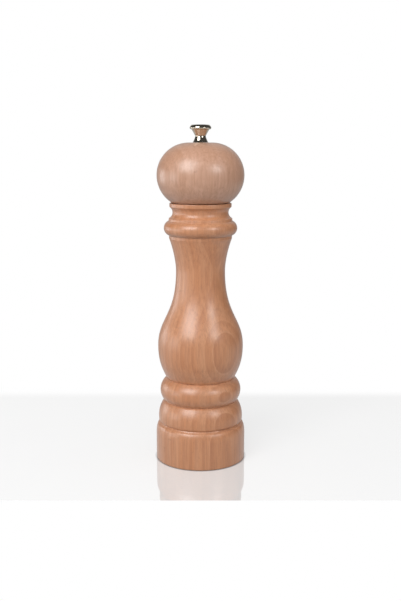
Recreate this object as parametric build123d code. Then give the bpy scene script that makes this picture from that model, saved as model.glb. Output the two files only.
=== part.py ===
from build123d import *
import math
import os

# Turned beech pepper mill. Millimetres, +Z up. The origin is the centre of the foot, on the table.

# Outside of the body: radius of each moulding, and its height above the one below.
plinth_r = 29.6
foot_break = 0.8
plinth_side_h = 17.25
shoulder_h = 7.05
shoulder_r = 27.3
foot_groove_r = 26.7
foot_groove_h = 0.9
lower_bead_foot_r = 27.72
lower_bead_foot_h = 1.15
lower_bead_h = 12.85
lower_bead_arc_r = 17.9
bead_lip_r = 24.63
bead_groove_r = 23.6
bead_groove_h = 0.75
upper_bead_h = 13.7
upper_bead_arc_r = 10.0
upper_bead_top_r = 23.2
belly_groove_r = 21.9
belly_groove_h = 0.9
belly_foot_r = 22.7
belly_foot_h = 0.4
belly_r = 28.05
belly_rise_h = 21.15
belly_drop_h = 49.7
waist_r = 16.0
neck_rise_h = 21.3
neck_fillet_r = 20.4
neck_fillet_h = 1.85
neck_bead_h = 9.35
neck_bead_arc_r = 5.0
neck_bead_top_r = 20.6
cove_fillet_r = 20.5
cove_fillet_h = 1.65
cove_h = 7.3
cove_arc_r = 4.15
rim_r = 20.05
rim_h = 2.9
joint_land_r = 16.5
joint_relief_h = 0.5
edge_break = 0.4

# How far each freehand curve runs straight on before it bends, in mm.
belly_foot_pull = (2.95, 5.65)
belly_low_pull = 10.0
belly_high_pull = 17.85
waist_low_pull = 29.5
waist_high_pull = 5.9
neck_foot_pull = (2.4, 6.2)

# Head: a ball turned as one arc about a centre that stands off the axis.
ball_r = 20.6
ball_offset = 7.5
ball_centre_h = 17.15
spigot_chamfer = 0.7

# Steel finial nut on the head.
knob_foot_r = 5.05
knob_neck_r = 3.1
knob_neck_h = 4.5
knob_cup_r = 4.9
knob_cup_h = 7.9
knob_lip_r = 6.4
knob_lip_h = 8.5
knob_rim_r = 6.9
knob_rim_h = 9.1
knob_top_r = 5.4
knob_h = 11.25
knob_crown_h = 0.25
knob_flare_r = 9.0

# Bores of the body, from the foot up.
recess_r = 21.5
recess_h = 8.5
pocket_r = 14.0
bore_r = 11.0
socket_r = 12.75
socket_h = 13.0

# Steelwork.
plate_t = 1.2
plate_hole_r = 13.8
plate_edge_gap = 0.5
ring_r = 15.5
ring_h = 12.0
ring_fine_h = 3.5
ring_foot_r = 13.0
ring_throat_r = 11.5
ring_mouth_r = 11.9
cone_fine_h = 3.5
cone_h = 14.5
cone_foot_r = 12.4
cone_throat_r = 10.9
cone_top_r = 6.4
fine_tooth_depth = 0.45
coarse_tooth_depth = 1.8
ring_coarse_depth = 0.9
cone_coarse_teeth = 7
cone_fine_teeth = 30
ring_coarse_teeth = 12
ring_fine_teeth = 36
fine_tooth_ramp = 0.6
cone_tooth_ramp = 0.8
ring_tooth_ramp = 0.65
cone_twist_deg = 56.0
ring_twist_deg = 14.0
fine_twist_deg = 4.0
cone_twist_steps = 4
ring_twist_steps = 2
shaft_w = 5.0
shaft_corner = 0.5
thread_r = 2.0
thread_reach = 7.6
thread_h = 22.0
shaft_end_r = 2.35
shaft_end_h = 2.6
strap_t = 1.0
strap_w = 9.0
strap_bend_r = 1.8
washer_r = 6.2
washer_t = 0.8
collar_r = 4.3
collar_h = 1.2
spring_r = 5.2
spring_wire_d = 1.1
spring_wire_sides = 8
spring_h = 13.0
spring_coils = 3.6
clip_r = 4.4
clip_t = 0.7
clip_band_r = 2.9
clip_lug_w = 1.3
clip_mouth_w = 3.4
groove_depth = 0.55
drive_plate_r = 11.4

# Screws: three in the retaining plate, two in the drive plate.
foot_screw_count = 3
foot_screw_circle_r = 18.4
foot_screw_r = 1.25
foot_screw_l = 8.5
foot_screw_head_r = 2.3
foot_screw_head_h = 1.3
drive_screw_count = 2
drive_screw_circle_r = 7.8
drive_screw_r = 1.1
drive_screw_l = 8.0
drive_screw_head_r = 2.1
slot_w = 0.6
slot_depth = 0.5

# Clearances.
turn_gap = 0.05
slide_gap = 0.08
spigot_gap = 0.08
seat_gap = 0.1
screw_gap = 0.05
thread_gap = 0.05
shaft_hole_gap = 0.5
floor_gap = 0.5
knob_bore_gap = 1.2
bridge_leg_gap = 1.0

# Heights that follow from the sizes above.
shoulder_z = plinth_side_h + shoulder_h
foot_groove_z = shoulder_z + foot_groove_h
lower_bead_z = foot_groove_z + lower_bead_foot_h
bead_lip_z = lower_bead_z + lower_bead_h
bead_groove_z = bead_lip_z + bead_groove_h
upper_bead_z = bead_groove_z + bead_groove_h
upper_bead_top_z = upper_bead_z + upper_bead_h
belly_groove_z = upper_bead_top_z + belly_groove_h
belly_foot_z = belly_groove_z + belly_foot_h
belly_z = belly_foot_z + belly_rise_h
waist_z = belly_z + belly_drop_h
neck_z = waist_z + neck_rise_h
neck_bead_z = neck_z + neck_fillet_h
cove_fillet_z = neck_bead_z + neck_bead_h
cove_z = cove_fillet_z + cove_fillet_h
rim_z = cove_z + cove_h
joint_z = rim_z + rim_h
rim_top_z = joint_z - joint_relief_h
head_z = joint_z + turn_gap
ball_centre_z = joint_z + ball_centre_h
crown_z = ball_centre_z + ball_r
knob_z = crown_z + turn_gap
ring_top_z = recess_h + ring_h
cone_z = recess_h + turn_gap
cone_top_z = cone_z + cone_h
spring_z = cone_top_z + washer_t
seat_z = spring_z + spring_h
bridge_z = seat_z + washer_t + turn_gap
bridge_top_z = bridge_z + strap_t
pocket_top_z = bridge_top_z + floor_gap
bore_foot_z = pocket_top_z + pocket_r - bore_r
socket_z = joint_z - socket_h
drive_plate_z = socket_z + floor_gap
spigot_z = drive_plate_z + plate_t
shaft_top_z = crown_z + thread_reach
thread_z = shaft_top_z - thread_h
shaft_reach = math.hypot(shaft_w / 2, shaft_w / 2 - shaft_corner)

QUARTER_ROUND = 0.5523


def turned(edges):
    """Solid of revolution about Z from closed edges drawn as (radius, height)."""
    return revolve(Plane.XZ * make_face(Curve() + edges), Axis.Z)


def path(*points):
    """Straight edges through the given (radius, height) points."""
    return [Line(a, b) for a, b in zip(points, points[1:])]


def spaced(count, radius, shape, start_deg=0.0):
    """Copies of a shape at even angles on a circle about Z."""
    step = 360 / count
    return [Rot(0, 0, start_deg + step * i) * Pos(radius, 0, 0) * shape for i in range(count)]


def square_bar(height, gap=0.0):
    """Upright square bar with broken corners, its foot at z = 0, grown by a gap all round."""
    side = Rectangle(shaft_w + 2 * gap, shaft_w + 2 * gap)
    return extrude(chamfer(side.vertices(), shaft_corner), height)


def rounded(start, end, arc_r):
    """One curve along the arc from start up to end; it bulges outwards, or inwards where arc_r < 0."""
    chord = Vector(*end) - Vector(*start)
    half_deg = math.degrees(math.asin(chord.length / (2 * arc_r)))
    handle = chord.normalized() * (4 / 3 * arc_r * math.tan(math.radians(half_deg) / 2))
    leave = Vector(*start) + handle.rotate(Axis.Z, -half_deg)
    arrive = Vector(*end) - handle.rotate(Axis.Z, half_deg)
    return Bezier(start, leave, arrive, end)


def body_outside():
    """The turned outside, from the foot up to the rim."""
    shoulder_w = plinth_r - shoulder_r
    foot_groove = path(
        (shoulder_r, shoulder_z),
        (foot_groove_r, foot_groove_z),
        (lower_bead_foot_r, lower_bead_z),
    )
    bead_groove = path(
        (bead_lip_r, bead_lip_z),
        (bead_groove_r, bead_groove_z),
        (bead_lip_r, upper_bead_z),
    )
    belly_groove = path(
        (upper_bead_top_r, upper_bead_top_z),
        (belly_groove_r, belly_groove_z),
        (belly_foot_r, belly_foot_z),
    )
    return [
        *path((plinth_r - foot_break, 0), (plinth_r, foot_break), (plinth_r, plinth_side_h)),
        Bezier(
            (plinth_r, plinth_side_h),
            (plinth_r, plinth_side_h + shoulder_h * QUARTER_ROUND),
            (shoulder_r + shoulder_w * QUARTER_ROUND, shoulder_z),
            (shoulder_r, shoulder_z),
        ),
        *foot_groove,
        rounded((lower_bead_foot_r, lower_bead_z), (bead_lip_r, bead_lip_z), lower_bead_arc_r),
        *bead_groove,
        rounded((bead_lip_r, upper_bead_z), (upper_bead_top_r, upper_bead_top_z), upper_bead_arc_r),
        *belly_groove,
        Bezier(
            (belly_foot_r, belly_foot_z),
            (belly_foot_r + belly_foot_pull[0], belly_foot_z + belly_foot_pull[1]),
            (belly_r, belly_z - belly_low_pull),
            (belly_r, belly_z),
        ),
        Bezier(
            (belly_r, belly_z),
            (belly_r, belly_z + belly_high_pull),
            (waist_r, waist_z - waist_low_pull),
            (waist_r, waist_z),
        ),
        Bezier(
            (waist_r, waist_z),
            (waist_r, waist_z + waist_high_pull),
            (neck_fillet_r - neck_foot_pull[0], neck_z - neck_foot_pull[1]),
            (neck_fillet_r, neck_z),
        ),
        Line((neck_fillet_r, neck_z), (neck_fillet_r, neck_bead_z)),
        rounded((neck_fillet_r, neck_bead_z), (neck_bead_top_r, cove_fillet_z), neck_bead_arc_r),
        Line((neck_bead_top_r, cove_fillet_z), (cove_fillet_r, cove_z)),
        rounded((cove_fillet_r, cove_z), (rim_r, rim_z), -cove_arc_r),
        *path((rim_r, rim_z), (rim_r, rim_top_z - edge_break), (rim_r - edge_break, rim_top_z)),
    ]


def body():
    """Turned body, bored through from both ends, with pilot holes for the retaining screws."""
    seat_r = ring_r + seat_gap
    inside = path(
        (rim_r - edge_break, rim_top_z),
        (joint_land_r, rim_top_z),
        (joint_land_r, joint_z),
        (socket_r + edge_break, joint_z),
        (socket_r, joint_z - edge_break),
        (socket_r, socket_z),
        (bore_r, socket_z),
        (bore_r, bore_foot_z),
        (pocket_r, pocket_top_z),
        (pocket_r, ring_top_z),
        (seat_r, ring_top_z),
        (seat_r, recess_h),
        (recess_r, recess_h),
        (recess_r, edge_break),
        (recess_r + edge_break, 0),
        (plinth_r - foot_break, 0),
    )
    pilot_h = foot_screw_l - plate_t + floor_gap
    pilot = Pos(0, 0, recess_h + pilot_h / 2) * Cylinder(foot_screw_r + screw_gap, pilot_h)
    return turned(body_outside() + inside) - spaced(foot_screw_count, foot_screw_circle_r, pilot)


def head():
    """Turned head: a flattened ball with a spigot below, drilled through for the shaft."""
    edge_z = head_z + edge_break
    edge_r = ball_offset + math.sqrt(ball_r**2 - (ball_centre_z - edge_z) ** 2)
    spigot_r = socket_r - spigot_gap
    hole_r = shaft_reach + shaft_hole_gap
    widest = (ball_offset + ball_r, ball_centre_z)
    profile = [
        ThreePointArc((edge_r, edge_z), widest, (ball_offset, crown_z)),
        *path(
            (ball_offset, crown_z),
            (hole_r, crown_z),
            (hole_r, spigot_z),
            (spigot_r - spigot_chamfer, spigot_z),
            (spigot_r, spigot_z + spigot_chamfer),
            (spigot_r, head_z),
            (edge_r - edge_break, head_z),
            (edge_r, edge_z),
        ),
    ]
    pilot_h = drive_screw_l - plate_t + floor_gap
    pilot = Pos(0, 0, spigot_z + pilot_h / 2) * Cylinder(drive_screw_r + screw_gap, pilot_h)
    return turned(profile) - spaced(drive_screw_count, drive_screw_circle_r, pilot)


def knob():
    """Finial nut: flared foot, pinched neck, cupped underside and a bevelled flat top."""
    bore_z = knob_z + thread_reach + knob_bore_gap
    bore_wall_r = thread_r + thread_gap
    neck = (knob_neck_r, knob_z + knob_neck_h)
    top_z = knob_z + knob_h
    bevel_z = top_z - knob_crown_h
    crown_arc_r = (knob_top_r**2 + knob_crown_h**2) / (2 * knob_crown_h)
    profile = [
        *path((0, bore_z), (bore_wall_r, bore_z), (bore_wall_r, knob_z), (knob_foot_r, knob_z)),
        RadiusArc((knob_foot_r, knob_z), neck, knob_flare_r),
        *path(
            neck,
            (knob_cup_r, knob_z + knob_cup_h),
            (knob_lip_r, knob_z + knob_lip_h),
            (knob_rim_r, knob_z + knob_rim_h),
            (knob_top_r, bevel_z),
        ),
        RadiusArc((knob_top_r, bevel_z), (0, top_z), -crown_arc_r),
        Line((0, top_z), (0, bore_z)),
    ]
    return turned(profile)


def shaft():
    """Square spindle: threaded end above, turned and grooved end below."""
    bar = Pos(0, 0, cone_z) * square_bar(thread_z - cone_z)
    thread = Pos(0, 0, thread_z + thread_h / 2) * Cylinder(thread_r, thread_h)
    end = Pos(0, 0, cone_z - shaft_end_h / 2) * Cylinder(shaft_end_r, shaft_end_h)
    groove_h = clip_t + 2 * turn_gap
    groove_r = shaft_end_r - groove_depth
    groove = Cylinder(shaft_end_r + groove_depth, groove_h) - Cylinder(groove_r, groove_h)
    return bar + thread + end - Pos(0, 0, cone_z - groove_h / 2) * groove


def toothed_face(z, count, rise_r, drop_r, ramp, turn_deg):
    """Face at height z whose edge goes from rise_r to drop_r over the ramp of each tooth."""
    pitch_deg = 360 / count
    corners = []
    for i in range(count):
        start = math.radians(turn_deg + pitch_deg * i)
        end = start + math.radians(pitch_deg * ramp)
        corners.append((rise_r * math.cos(start), rise_r * math.sin(start)))
        corners.append((drop_r * math.cos(end), drop_r * math.sin(end)))
    return Pos(0, 0, z) * make_face(Polyline(*corners, close=True))


def toothed_cone(low, high, count, depth, ramp, twist_deg, steps):
    """Twisted cone of teeth between (crest radius, height) low and high, cut inwards by depth."""
    faces = []
    for i in range(steps + 1):
        share = i / steps
        crest_r = low[0] + (high[0] - low[0]) * share
        z = low[1] + (high[1] - low[1]) * share
        faces.append(toothed_face(z, count, crest_r - depth, crest_r, ramp, twist_deg * share))
    return loft(faces, ruled=True)


def grinding_cone():
    """Male burr: coarse spiral teeth that draw the corns down, fine teeth round the foot."""
    foot = (cone_foot_r, cone_z)
    throat = (cone_throat_r, cone_z + cone_fine_h)
    mouth = (cone_top_r, cone_top_z)
    fine = toothed_cone(
        foot, throat, cone_fine_teeth, fine_tooth_depth, fine_tooth_ramp, fine_twist_deg, 1
    )
    coarse = toothed_cone(
        throat, mouth, cone_coarse_teeth, coarse_tooth_depth, cone_tooth_ramp,
        cone_twist_deg, cone_twist_steps,
    )
    hole = Pos(0, 0, cone_z) * square_bar(cone_h, turn_gap)
    return fine + coarse - hole


def grinding_ring():
    """Female burr: coarse teeth in the mouth, fine teeth at the foot, notches for the bridge."""
    blank = Pos(0, 0, recess_h + ring_h / 2) * Cylinder(ring_r, ring_h)
    throat_z = recess_h + ring_fine_h
    fine = toothed_cone(
        (ring_foot_r + fine_tooth_depth, recess_h),
        (ring_throat_r + fine_tooth_depth, throat_z),
        ring_fine_teeth, fine_tooth_depth, fine_tooth_ramp, -fine_twist_deg, 1,
    )
    coarse = toothed_cone(
        (ring_throat_r + ring_coarse_depth, throat_z),
        (ring_mouth_r + ring_coarse_depth, ring_top_z),
        ring_coarse_teeth, ring_coarse_depth, ring_tooth_ramp, -ring_twist_deg, ring_twist_steps,
    )
    notch = Pos(0, 0, ring_top_z - strap_t / 2) * Box(2 * ring_r, strap_w + 2 * seat_gap, strap_t)
    return blank - fine - coarse - notch


def bridge():
    """Stirrup bent from flat strip: feet in the ring's notches, legs and a pierced bar above."""
    leg_x = pocket_r - bridge_leg_gap
    foot_z = ring_top_z - strap_t
    outer_h = bridge_top_z - foot_z
    outer = Pos(0, 0, foot_z + outer_h / 2) * Box(2 * leg_x, strap_w, outer_h)
    outer = fillet(outer.edges().filter_by(Axis.Y).group_by(Axis.Z)[-1], strap_bend_r)
    inner_w = 2 * (leg_x - strap_t)
    inner_h = outer_h - strap_t
    inner = Pos(0, 0, foot_z + inner_h / 2) * Box(inner_w, strap_w, inner_h)
    inner = fillet(inner.edges().filter_by(Axis.Y).group_by(Axis.Z)[-1], strap_bend_r - strap_t)
    sole_at = Pos(0, 0, foot_z + strap_t / 2)
    sole = sole_at * Box(2 * ring_r, strap_w, strap_t) - sole_at * Box(inner_w, strap_w, strap_t)
    sole &= sole_at * Cylinder(ring_r - seat_gap, strap_t)
    hole = Pos(0, 0, bridge_z + strap_t / 2) * Cylinder(shaft_reach + slide_gap, strap_t)
    return outer - inner + sole - hole


def spring_washer(flange_z, collar_up):
    """Collared washer with a square hole; the collar centres the spring."""
    flange = Pos(0, 0, flange_z + washer_t / 2) * Cylinder(washer_r, washer_t)
    collar_z = flange_z + washer_t if collar_up else flange_z - collar_h
    collar = Pos(0, 0, collar_z + collar_h / 2) * Cylinder(collar_r, collar_h)
    low_z = min(flange_z, collar_z)
    return flange + collar - Pos(0, 0, low_z) * square_bar(washer_t + collar_h, slide_gap)


def spring():
    """Compression spring, both ends ground flat."""
    pitch = spring_h / spring_coils
    coil = Helix(pitch, spring_h + 2 * spring_wire_d, spring_r, center=(0, 0, spring_z - spring_wire_d))
    section = RegularPolygon(spring_wire_d / 2, spring_wire_sides)
    wire = sweep(Plane(origin=coil @ 0, z_dir=coil % 0) * section, path=coil)
    outer = spring_r + spring_wire_d
    return wire & Pos(0, 0, spring_z + spring_h / 2) * Cylinder(outer, spring_h)


def cone_clip():
    """E-clip: an open band with three lugs that spring into the shaft's groove."""
    seat_r = shaft_end_r - groove_depth + turn_gap
    lug = Rectangle(clip_band_r, clip_lug_w, align=(Align.MIN, Align.CENTER))
    outline = Circle(clip_r) - Circle(clip_band_r) + spaced(3, 0, lug, 90)
    outline -= Circle(seat_r)
    outline -= Rectangle(clip_mouth_w, 2 * clip_r, align=(Align.CENTER, Align.MAX))
    return Pos(0, 0, cone_z - turn_gap - clip_t) * extrude(outline, clip_t)


def retaining_plate():
    """Pierced disc in the recess: holds the burr ring up and lets the grounds fall through."""
    plate_r = recess_r - plate_edge_gap
    disc = Circle(plate_r) - Circle(plate_hole_r)
    disc -= spaced(foot_screw_count, foot_screw_circle_r, Circle(foot_screw_r + seat_gap))
    return Pos(0, 0, recess_h - plate_t) * extrude(disc, plate_t)


def retaining_screws():
    """Pan-head wood screws, heads down."""
    cap = Pos(0, 0, foot_screw_head_h / 2) * Cylinder(foot_screw_head_r, foot_screw_head_h)
    cap = chamfer(cap.edges().group_by(Axis.Z)[0], foot_screw_head_h / 2)
    cap -= Pos(0, 0, slot_depth / 2) * Box(2 * foot_screw_head_r, slot_w, slot_depth)
    shank = Pos(0, 0, foot_screw_head_h + foot_screw_l / 2) * Cylinder(foot_screw_r, foot_screw_l)
    screw = Pos(0, 0, recess_h - plate_t - foot_screw_head_h) * (cap + shank)
    return Compound(children=spaced(foot_screw_count, foot_screw_circle_r, screw))


def drive_plate():
    """Disc under the spigot, with the square hole that turns the shaft."""
    disc = Pos(0, 0, drive_plate_z + plate_t / 2) * Cylinder(drive_plate_r, plate_t)
    disc -= Pos(0, 0, drive_plate_z) * square_bar(plate_t, slide_gap)
    sink = countersink(seat_gap)
    return disc - spaced(drive_screw_count, drive_screw_circle_r, sink)


def countersink(gap):
    """Flat screw head as a cone, wide end down, flush with the underside of the drive plate."""
    rise = drive_screw_head_r - drive_screw_r
    low = drive_plate_z
    profile = path(
        (0, low),
        (drive_screw_head_r + gap, low),
        (drive_screw_r + gap, low + rise),
        (drive_screw_r + gap, low + plate_t),
        (0, low + plate_t),
        (0, low),
    )
    return turned(profile)


def drive_plate_screws():
    """Countersunk wood screws, heads down."""
    shank_h = drive_screw_l - plate_t
    shank = Pos(0, 0, spigot_z + shank_h / 2) * Cylinder(drive_screw_r, shank_h)
    slot = Pos(0, 0, drive_plate_z + slot_depth / 2) * Box(2 * drive_screw_head_r, slot_w, slot_depth)
    screw = countersink(0) + shank - slot
    return Compound(children=spaced(drive_screw_count, drive_screw_circle_r, screw))


def main():
    """Build every piece and write one STEP file for each."""
    pieces = {
        "body": body(),
        "head": head(),
        "knob": knob(),
        "shaft": shaft(),
        "drive_plate": drive_plate(),
        "drive_plate_screws": drive_plate_screws(),
        "bridge": bridge(),
        "spring_seat": spring_washer(seat_z, collar_up=False),
        "spring": spring(),
        "cone_washer": spring_washer(cone_top_z, collar_up=True),
        "grinding_cone": grinding_cone(),
        "cone_clip": cone_clip(),
        "grinding_ring": grinding_ring(),
        "retaining_plate": retaining_plate(),
        "retaining_screws": retaining_screws(),
    }
    os.makedirs("parts", exist_ok=True)
    for node, shape in pieces.items():
        export_step(shape, f"parts/{node}.step")


main()
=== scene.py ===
import logging
import math
from collections.abc import Callable, Iterable, Mapping, Sequence
from dataclasses import dataclass
from enum import Enum
from typing import Any

import bmesh
import bpy
from mathutils import Euler, Matrix, Vector


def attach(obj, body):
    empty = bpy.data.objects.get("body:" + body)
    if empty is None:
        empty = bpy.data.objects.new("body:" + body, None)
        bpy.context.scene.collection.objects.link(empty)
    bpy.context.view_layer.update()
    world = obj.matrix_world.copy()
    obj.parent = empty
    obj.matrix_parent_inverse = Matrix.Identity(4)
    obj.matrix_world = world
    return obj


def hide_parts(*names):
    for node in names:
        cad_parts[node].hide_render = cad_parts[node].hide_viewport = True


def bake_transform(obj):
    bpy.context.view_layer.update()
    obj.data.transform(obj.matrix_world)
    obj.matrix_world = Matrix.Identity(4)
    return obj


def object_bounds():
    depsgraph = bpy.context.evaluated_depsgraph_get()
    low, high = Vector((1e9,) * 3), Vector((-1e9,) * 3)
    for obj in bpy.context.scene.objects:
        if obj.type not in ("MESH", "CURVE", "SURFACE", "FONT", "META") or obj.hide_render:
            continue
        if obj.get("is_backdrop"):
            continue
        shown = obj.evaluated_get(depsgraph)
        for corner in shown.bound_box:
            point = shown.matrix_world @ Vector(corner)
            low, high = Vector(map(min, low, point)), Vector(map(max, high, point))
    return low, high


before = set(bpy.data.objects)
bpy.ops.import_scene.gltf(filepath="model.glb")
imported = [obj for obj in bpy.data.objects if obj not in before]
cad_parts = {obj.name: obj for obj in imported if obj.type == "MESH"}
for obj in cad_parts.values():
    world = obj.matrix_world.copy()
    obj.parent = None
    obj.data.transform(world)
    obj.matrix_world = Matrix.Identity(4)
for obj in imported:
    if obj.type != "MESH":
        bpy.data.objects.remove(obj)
CAD_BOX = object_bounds()

LOG = logging.getLogger("pepper_mill")
MM = 0.001
TINY = 1e-6
SHARP_DEG = 38.0  # Edges that bend more than this stay sharp.
BROKEN_DEG = 40.0  # Edges of a CAD solid that bend more than this are broken.
WELD_GAP = 0.002  # Vertices of a CAD solid this near in millimetres become one.
QUARTER = 0.5523  # How far along its sides the control points of a quarter circle sit.
WHITE = (1.0, 1.0, 1.0)
SQUARE = ((-0.5, -0.5), (0.5, -0.5), (0.5, 0.5), (-0.5, 0.5))
Point = tuple[float, float]
Triple = tuple[float, float, float]
Span = tuple[float, float, float, float]
Number = "float | Signal"


def srgb(red: int, green: int, blue: int) -> Triple:
    """Turn a colour given as 0 to 255 for a screen into linear light."""
    shares = [value / 255 for value in (red, green, blue)]
    return tuple(s / 12.92 if s <= 0.04045 else ((s + 0.055) / 1.055) ** 2.4 for s in shares)


# Shaders


class Signal:
    """One shader value. Arithmetic on it adds Math nodes to its shader."""

    def __init__(self, shader: "Shader", socket: bpy.types.NodeSocket) -> None:
        """Keep the output socket and the shader that its nodes go to."""
        self.shader = shader
        self.socket = socket

    def math(self, operation: str, *values: Number) -> "Signal":
        """Result of a Math node on the given values, this one among them."""
        node = self.shader.node("ShaderNodeMath", {"operation": operation}, dict(enumerate(values)))
        return Signal(self.shader, node.outputs[0])

    def __add__(self, other: Number) -> "Signal":
        """This value plus another."""
        return self.math("ADD", self, other)

    __radd__ = __add__

    def __sub__(self, other: Number) -> "Signal":
        """This value less another."""
        return self.math("SUBTRACT", self, other)

    def __rsub__(self, other: Number) -> "Signal":
        """Another value less this one."""
        return self.math("SUBTRACT", other, self)

    def __mul__(self, other: Number) -> "Signal":
        """This value times another."""
        return self.math("MULTIPLY", self, other)

    __rmul__ = __mul__

    def __truediv__(self, other: Number) -> "Signal":
        """This value divided by another."""
        return self.math("DIVIDE", self, other)

    def __pow__(self, other: Number) -> "Signal":
        """This value to a power."""
        return self.math("POWER", self, other)

    def fract(self) -> "Signal":
        """What is left above the whole number below."""
        return self.math("FRACT", self)

    def floor(self) -> "Signal":
        """The whole number below."""
        return self.math("FLOOR", self)

    def size(self) -> "Signal":
        """Absolute value."""
        return self.math("ABSOLUTE", self)

    def most(self, other: Number) -> "Signal":
        """The larger of this value and another."""
        return self.math("MAXIMUM", self, other)

    def hypot(self, other: "Signal") -> "Signal":
        """Distance from the origin to the point at this value and another."""
        return self.math("SQRT", self**2.0 + other**2.0)

    def turn(self, other: "Signal") -> "Signal":
        """Angle whose tangent is this value over another, in radians."""
        return self.math("ARCTAN2", self, other)

    def rise(self, low: float, high: float) -> "Signal":
        """Smooth step, which falls where low is above high.

        Args:
            low: Value where it is 0.
            high: Value where it is 1.

        Returns:
            The step.
        """
        settings = {"interpolation_type": "SMOOTHSTEP"}
        inputs = {"Value": self, "From Min": low, "From Max": high}
        return Signal(self.shader, self.shader.node("ShaderNodeMapRange", settings, inputs).outputs[0])

    def band(self, start: float, full: float, fade: float, end: float) -> "Signal":
        """Step up from 0 at start to 1 at full, and down from 1 at fade to 0 at end."""
        return self.rise(start, full) * self.rise(end, fade)


class Shader:
    """The node tree of a material or of the world."""

    BUMP_STRENGTH = 0.5

    def __init__(self, owner: bpy.types.Material | bpy.types.World) -> None:
        """Start an empty node tree.

        Args:
            owner: What the nodes belong to.
        """
        owner.use_nodes = True
        self.tree = owner.node_tree
        self.tree.nodes.clear()

    def node(
        self,
        kind: str,
        settings: Mapping[str, Any] | None = None,
        inputs: Mapping[str | int, Any] | None = None,
    ) -> bpy.types.Node:
        """Add a node.

        Args:
            kind: Type of the node.
            settings: Its own properties, set before its sockets.
            inputs: Value, Signal or output socket for each input, by name or place.

        Returns:
            The new node.
        """
        node = self.tree.nodes.new(kind)
        for key, value in (settings or {}).items():
            setattr(node, key, value)
        for key, value in (inputs or {}).items():
            self.feed(node.inputs[key], value)
        return node

    def feed(self, socket: bpy.types.NodeSocket, value: Any) -> None:
        """Link an output to an input socket, or set a plain value on it.

        Args:
            socket: The input socket.
            value: Signal, output socket, number, colour or vector.
        """
        if isinstance(value, Signal):
            value = value.socket
        if isinstance(value, bpy.types.NodeSocket):
            self.tree.links.new(value, socket)
        elif socket.type == "RGBA":
            socket.default_value = (*value, 1.0)
        else:
            socket.default_value = value

    def split(self, vector: bpy.types.NodeSocket) -> tuple[Signal, ...]:
        """The x, y and z of a vector."""
        parts = self.node("ShaderNodeSeparateXYZ", {}, {0: vector})
        return tuple(Signal(self, output) for output in parts.outputs)

    def places(self) -> tuple[Signal, ...]:
        """Find the place on the piece in its rest frame.

        Returns:
            Its x, y and z in millimetres.
        """
        coordinates = self.node("ShaderNodeTexCoord").outputs["Object"]
        inputs = {0: coordinates, "Scale": 1 / MM}
        return self.split(self.node("ShaderNodeVectorMath", {"operation": "SCALE"}, inputs).outputs[0])

    def facing_up(self) -> Signal:
        """How level the surface is, from 0 on a wall to 1 on a flat top or underside."""
        return self.split(self.node("ShaderNodeTexCoord").outputs["Normal"])[2].size()

    def noise(self, x: Number, y: Number, z: Number, detail: float = 2.0, rough: float = 0.5) -> Signal:
        """Add soft noise with about one feature to each unit of a place.

        Args:
            x: First part of the place.
            y: Second part.
            z: Third part.
            detail: Number of finer layers.
            rough: Strength of the finer layers.

        Returns:
            The noise, from 0 to 1.
        """
        place = self.node("ShaderNodeCombineXYZ", {}, {0: x, 1: y, 2: z}).outputs[0]
        inputs = {"Vector": place, "Scale": 1.0, "Detail": detail, "Roughness": rough}
        return Signal(self, self.node("ShaderNodeTexNoise", {}, inputs).outputs[0])

    def pick(self, number: Signal) -> Signal:
        """A fixed random value from 0 to 1 for each whole number."""
        node = self.node("ShaderNodeTexWhiteNoise", {"noise_dimensions": "1D"}, {"W": number})
        return Signal(self, node.outputs[0])

    def blend(self, share: Number, under: Any, over: Any) -> bpy.types.NodeSocket:
        """Mix two colours, with the share of the upper one from 0 to 1."""
        inputs = {0: share, 6: under, 7: over}
        return self.node("ShaderNodeMix", {"data_type": "RGBA", "blend_type": "MIX"}, inputs).outputs[2]

    def relief(self, height: Signal, depth_mm: float) -> bpy.types.NodeSocket:
        """Normal of a surface carved by a height signal, with 1 standing depth_mm proud."""
        inputs = {"Height": height, "Distance": depth_mm * MM, "Strength": self.BUMP_STRENGTH}
        return self.node("ShaderNodeBump", {}, inputs).outputs[0]

    def rays(self, *kinds: str) -> Signal:
        """Tell rays of some kinds from the rest.

        Args:
            kinds: The kinds, as the Light Path node names them.

        Returns:
            1 for rays of these kinds, 0 for the rest.
        """
        path = self.node("ShaderNodeLightPath")
        first, *others = (Signal(self, path.outputs[f"Is {kind} Ray"]) for kind in kinds)
        for other in others:
            first = first.most(other)
        return first


class Surface(Shader):
    """A material around one principled shader."""

    def __init__(self, name: str) -> None:
        """Start a material.

        Args:
            name: Its name.
        """
        self.material = bpy.data.materials.new(name)
        super().__init__(self.material)
        self.principled = self.node("ShaderNodeBsdfPrincipled")
        self.output = self.node("ShaderNodeOutputMaterial", {}, {"Surface": self.principled.outputs[0]})

    def dress(self, inputs: Mapping[str, Any]) -> bpy.types.Material:
        """Feed the principled shader.

        Args:
            inputs: Link or plain value for each socket.

        Returns:
            The finished material.
        """
        for name, value in inputs.items():
            self.feed(self.principled.inputs[name], value)
        return self.material


@dataclass(frozen=True)
class Noise:
    """Soft noise with so many features to the millimetre across the upright axis and along it."""

    across: float
    along: float
    detail: float
    rough: float = 0.5

    def on(self, shader: Shader, x: Signal, y: Signal, z: Signal) -> Signal:
        """Its value at a place, from 0 to 1."""
        return shader.noise(x * self.across, y * self.across, z * self.along, self.detail, self.rough)


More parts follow.
